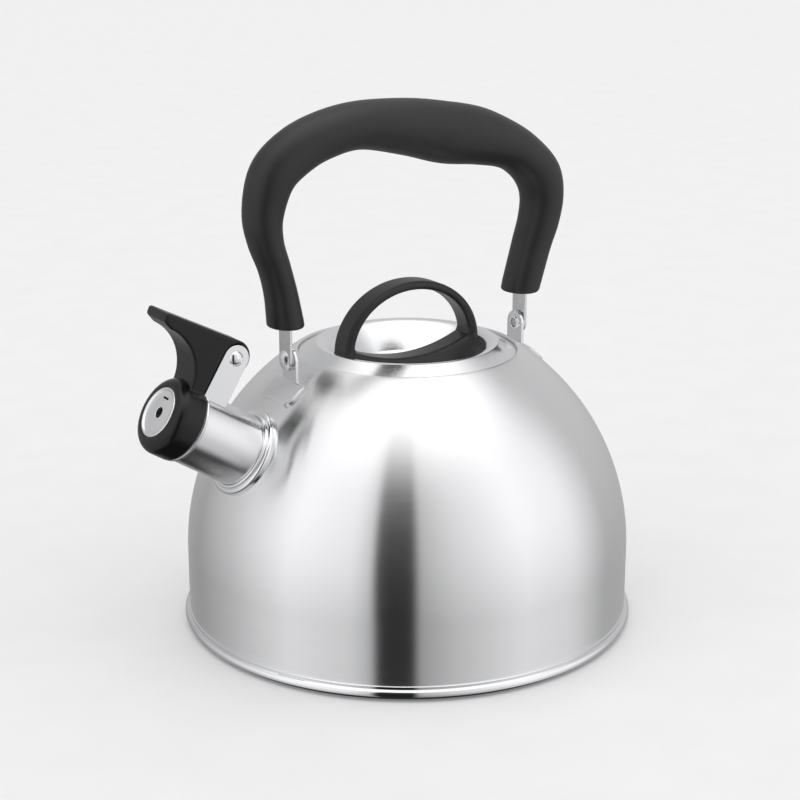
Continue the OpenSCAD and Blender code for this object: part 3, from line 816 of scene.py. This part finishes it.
def washer(tail):
    low, high = low_mm("washer_" + tail), high_mm("washer_" + tail)
    thick = high.x - low.x
    outline = rounded([(rivet_r, -thick / 2), (high.y, -thick / 2, 0.15), (high.y, thick / 2, 0.15),
                       (rivet_r, thick / 2)], 3)
    place = facing_x((low.x + high.x) / 2, pivot_z)
    dress(lathe("thin_washer_" + tail, outline, 64, place), "vessel", cut_steel, "plain_steel",
          "washer_" + tail)


def rivet(side, tail):
    """Eyelet rivet: domed head outside, rolled open end inside."""
    head_in = strap_in + strap_t + 0.05
    head = domed_head(head_in, strap_w / 2 - 0.2, 1.7)
    inside = ear_in - 0.9
    outline = (head[::-1] + [(strap_w / 2 - 0.25, head_in - 0.02), (rivet_r, head_in), (rivet_r, ear_in)]
               + rounded([(rivet_r, ear_in), (rivet_r + 0.9, ear_in), (rivet_r + 0.7, inside, 0.4),
                          (rivet_r - 0.5, inside, 0.3), (rivet_r - 0.5, ear_in + 2.5)])[1:]
               + [(0, ear_in + 2.5)])
    place = frame_matrix((0, 0, pivot_z), (0, side, 0), (0, 0, 1), (side, 0, 0))
    dress(lathe("eyelet_" + tail, outline, 64, place), "vessel", face_steel, "polished_steel",
          "rivet_" + tail)


def strap(side, tail):
    half = strap_w / 2
    outline = [(-half, strap_top)] + arc(0, pivot_z, half, 180, 360, 36) + [(half, strap_top)]
    plate = slab("flat_strap_" + tail, [outline, circle(0, pivot_z, rivet_r + 0.05, 40)], strap_t, 0.25,
                 facing_x(side * (strap_in + strap_t / 2)))
    dress(plate, "handle", cut_steel, "plain_steel", "strap_" + tail)


# centreline of the grip: side, height above the rivets, half thickness, half width
GRIP = [(-63.5, 16.5, 7.8, 9.8), (-65.5, 30, 7, 9), (-68.5, 42, 6.8, 9),
        (-72.5, 54, 7.5, 9.5), (-73.5, 66, 8.8, 10), (-69, 81, 10.2, 11),
        (-59.5, 90, 10.6, 11.5), (-45.5, 96.5, 10.4, 12), (-26, 100, 10.5, 12.5),
        (-1, 97.5, 12.6, 13), (19, 93.5, 13.9, 13.5), (37, 90.5, 13.1, 13.5),
        (54, 85, 11, 12.8), (65, 78, 10.5, 12), (72.5, 69.5, 10.8, 11.5),
        (75, 59.5, 10, 11), (73.5, 48.5, 9.4, 10.5), (69.5, 36.5, 8.9, 10),
        (63.5, 16.5, 8.5, 9.9)]


def blend_points(points, steps):
    """Smooth line through points of any size, with steps between each pair."""
    line = []
    last = len(points) - 1
    for i in range(last):
        a, b, c, d = (points[max(i - 1, 0)], points[i], points[i + 1], points[min(i + 2, last)])
        for k in range(steps):
            t = k / steps
            line.append([0.5 * (2 * q + (r - p) * t + (2 * p - 5 * q + 4 * r - s) * t * t
                                + (3 * q - p - 3 * r + s) * t ** 3) for p, q, r, s in zip(a, b, c, d)])
    return line + [list(points[last])]


def handle_grip():
    line = blend_points(GRIP, 8)
    fit = (strap_in + strap_t / 2) / GRIP[-1][0]
    sides = 64

    def ring(x, z, ahead, thick, wide):
        turns = [2 * pi * k / sides for k in range(sides)]
        return [(x * fit - ahead[1] * thick * cos(u), wide * sin(u),
                 pivot_z + z + ahead[0] * thick * cos(u)) for u in turns]

    rings = []
    for i, (x, z, thick, wide) in enumerate(line):
        before, after = line[max(i - 1, 0)], line[min(i + 1, len(line) - 1)]
        ahead = Vector((after[0] - before[0], after[1] - before[1])).normalized()
        ahead = Vector((0, 1)) if i == 0 else Vector((0, -1)) if i == len(line) - 1 else ahead
        rings.append(ring(x, z, ahead, thick, wide))
    edge = 1.1
    for place, up, ends in ((line[0], 1, []), (line[-1], -1, [])):
        x, z, thick, wide = place
        for k in range(1, 6):
            turn = pi / 2 * k / 5
            drop = edge * sin(turn)
            slim = edge * (1 - cos(turn))
            ends.append(ring(x, z - drop, Vector((0, up)), thick - slim, wide - slim))
        for slim in (2.2, 4.5):
            ends.append(ring(x, z - edge, Vector((0, up)), thick - slim, wide - slim))
        rings = ends[::-1] + rings if up > 0 else rings + ends
    bm = bmesh.new()
    add_skin(bm, rings)
    dress(new_piece("grip_moulding", bm, sharp=60), "handle", grip_rubber, "soft_grip", "handle_grip")


for side, tail in ((-1, "front"), (1, "rear")):
    bracket(side, tail)
    washer(tail)
    rivet(side, tail)
    strap(side, tail)
handle_grip()


# ---------------------------------------------------------------- lid
LIP_R = 9.0
FILLET_R = 8.0
BOWL_WALL = 39
wall_turn = radians(BOWL_WALL)
lip_x = crest_r - LIP_R * sin(wall_turn)
lip_z = crest_z - LIP_R * (1 - cos(wall_turn))
fillet_x = lip_x - (lip_z - bowl_z - FILLET_R * (1 - cos(wall_turn))) / tan(wall_turn)
floor_r = fillet_x - FILLET_R * sin(wall_turn)


def bowl_line(out=0.0):
    """Lid's top from the crest to the middle of the bowl, or its underside for a thickness out."""
    lip = arc(crest_r, crest_z - LIP_R, LIP_R - out, 90, 90 + BOWL_WALL, 14)
    fillet = arc(floor_r, bowl_z + FILLET_R, FILLET_R + out, BOWL_WALL - 90, -90, 12)
    return lip + fillet + [(0, bowl_z - out)]


def lid_pan():
    crest = arc(crest_r, crest_z - 1.2, 1.2, 60, 84, 5)
    outside = [(lid_r - 1.4, seat_z), (lid_r, seat_z, 0.25), (lid_r, seat_z + 0.9, 0.35)]
    under = bowl_line(LID_SHEET)[::-1]
    outline = rounded(outside + crest + bowl_line() + under
                      + [(crest_r + 0.2, crest_z - 0.85), (lid_r - 1.4, seat_z + 0.65)])
    dress(lathe("lid_pressing", outline, 256), "lid", lid_steel, "polished_steel", "lid_pan")


def lid_knob():
    """Loop knob, cut to the bowl it stands in."""
    loop = arc(0, 0, 1, 0, 180, 72)
    outer = [(knob_half * x, knob_z + (knob_top - knob_z) * y) for x, y in loop]
    outer += [(-knob_half, bowl_z - 0.4), (knob_half, bowl_z - 0.4)]
    eye_half = knob_half - 4.8
    eye_z = knob_z + 1
    eye_top = knob_top - knob_z - 5.1
    eye_low = bowl_z + 6.2
    rise = eye_z + 1.5 - eye_low
    eye_r = (eye_half ** 2 + rise ** 2) / (2 * rise)
    upper = arc(0, 0, 1, 7, 173, 60)
    eye = [(eye_half * x, eye_z + eye_top * y) for x, y in upper]
    steps = 24
    for k in range(-steps, steps + 1):
        x = k * eye_half * 0.965 / steps
        eye.append((x, eye_low + eye_r - sqrt(eye_r ** 2 - x * x)))
    side = frame_matrix((0, 0, 0), (1, 0, 0), (0, 0, 1), (0, -1, 0))
    knob = slab("loop_knob", [outer, eye], 2 * knob_y, 2.4, side)
    bowl = [(0, bowl_z - 9), (crest_r, bowl_z - 9)] + bowl_line()
    combine(knob, "DIFFERENCE", lathe("cutter", bowl, 192))
    smooth(knob, 38)
    dress(knob, "lid", knob_plastic, "black_plastic", "lid_knob")


lid_pan()
lid_knob()
dress_node("lid_skirt", cut_steel)
dress_node("lid_screws", cut_steel)


# ---------------------------------------------------------------- studio
CAMERA_SIDE = degrees(atan2(CAMERA_PLACE[1], CAMERA_PLACE[0]))
# brightness of the studio round the horizon: degrees to the right of the camera, level
HORIZON = [(-180, 0.55), (-134, 0.40), (-100, 0.62), (-62, 1.0), (-28, 0.84), (-18, 0.58), (-15, 0.02),
           (3, 0.02), (7, 0.44), (24, 0.66), (62, 1.0), (93, 0.92), (121, 0.52), (180, 0.55)]
SOFT_BOX = 1.12
LOW_SHARE = 0.66
OVERHEAD = 1.6
UNDERFOOT = 0.03
# elevations in degrees between which each change of light takes place
LOW_EDGE = (-24, 8)
TOP_EDGE = (40, 74)
FLOOR_EDGE = (-38, -62)
FLOOR_HALF = 9000
BACKDROP_R = 12000
BACKDROP_COLOUR = (0.88, 0.88, 0.88, 1)


def studio_world():
    """Pale studio: bright overhead, two soft walls of light, and a dark gap by the camera."""
    world = bpy.data.worlds.new("studio")
    bpy.context.scene.world = world
    world.use_nodes = True
    tree = world.node_tree
    direction = shader_node(tree, "ShaderNodeTexCoord").outputs["Generated"]
    turned = shader_node(tree, "ShaderNodeVectorRotate",
                         {"Vector": direction, "Angle": -radians(CAMERA_SIDE)},
                         rotation_type="Z_AXIS").outputs[0]
    split = shader_node(tree, "ShaderNodeSeparateXYZ", {0: turned})
    angle = math_node(tree, "ARCTAN2", split.outputs[1], split.outputs[0])
    ring = shader_node(tree, "ShaderNodeValToRGB", {"Fac": ramp(tree, angle, 0, 1, (-pi, pi))})
    stops = ring.color_ramp.elements
    stops[0].position = 0
    stops[1].position = 1
    for turn, level in HORIZON[1:-1]:
        stops.new(turn / 360 + 0.5)
    for stop, (turn, level) in zip(stops, HORIZON):
        stop.color = (level, level, level * 1.01, 1)
    rise = math_node(tree, "ARCSINE", split.outputs[2])
    dim = ramp(tree, rise, LOW_SHARE * SOFT_BOX, SOFT_BOX, [radians(edge) for edge in LOW_EDGE])
    level = shader_node(tree, "ShaderNodeVectorMath", {0: ring.outputs["Color"], 3: dim},
                        operation="SCALE")
    lit = mix_colour(tree, soft_step(tree, rise, *TOP_EDGE), level.outputs[0], OVERHEAD)
    colour = mix_colour(tree, soft_step(tree, rise, *FLOOR_EDGE), lit, UNDERFOOT)
    tree.links.new(colour, tree.nodes["Background"].inputs["Color"])


def soft_step(tree, rise, start, end):
    """Goes smoothly from 0 at one elevation to 1 at another, in degrees."""
    inputs = {"Value": rise, "From Min": radians(start), "From Max": radians(end)}
    made = shader_node(tree, "ShaderNodeMapRange", inputs, interpolation_type="SMOOTHSTEP")
    return made.outputs["Result"]


def mix_colour(tree, factor, colour, grey):
    """Mixes a colour with an even grey."""
    made = shader_node(tree, "ShaderNodeMix", data_type="RGBA")
    first, second = [socket for socket in made.inputs if socket.type == "RGBA"]
    tree.links.new(factor, made.inputs[0])
    tree.links.new(colour, first)
    second.default_value = (grey, grey, grey, 1)
    return [socket for socket in made.outputs if socket.type == "RGBA"][0]


def studio_floor():
    """Pale sweep: a wide floor, and a pale dome behind it that only the camera sees."""
    material, tree, shader = new_material("pale_floor", Roughness=0.7)
    grain = noise(tree, object_coords(tree), 30, 2)
    tree.links.new(tint(tree, grain, (0.90, 0.90, 0.90), (0.92, 0.92, 0.92)), shader.inputs["Base Color"])
    bm = bmesh.new()
    bmesh.ops.create_grid(bm, x_segments=24, y_segments=24, size=FLOOR_HALF)
    floor = new_piece("studio_floor", bm)
    floor.location.z = -0.0002
    floor.visible_glossy = False
    floor.data.materials.append(material)
    glow = bpy.data.materials.new("pale_backdrop")
    glow.use_nodes = True
    tree = glow.node_tree
    tree.nodes.remove(tree.nodes["Principled BSDF"])
    light = shader_node(tree, "ShaderNodeEmission", {"Color": BACKDROP_COLOUR, "Strength": 1.0})
    tree.links.new(light.outputs[0], tree.nodes["Material Output"].inputs["Surface"])
    outline = arc(0, 0, BACKDROP_R, -4, 90, 24)
    bm = bmesh.new()
    turns = [2 * pi * k / 64 for k in range(64)]
    rings = [[bm.verts.new((max(r, 1) * cos(a), max(r, 1) * sin(a), z)) for a in turns]
             for r, z in outline]
    for lower, upper in zip(rings, rings[1:]):
        for k in range(64):
            nxt = (k + 1) % 64
            bm.faces.new((lower[k], lower[nxt], upper[nxt], upper[k]))
    backdrop = new_piece("studio_backdrop", bm)
    backdrop.data.materials.append(glow)
    backdrop.visible_glossy = False
    backdrop.visible_diffuse = False
    backdrop.visible_transmission = False
    backdrop.visible_shadow = False


studio_world()
studio_floor()
bpy.context.scene.view_settings.view_transform = "Standard"
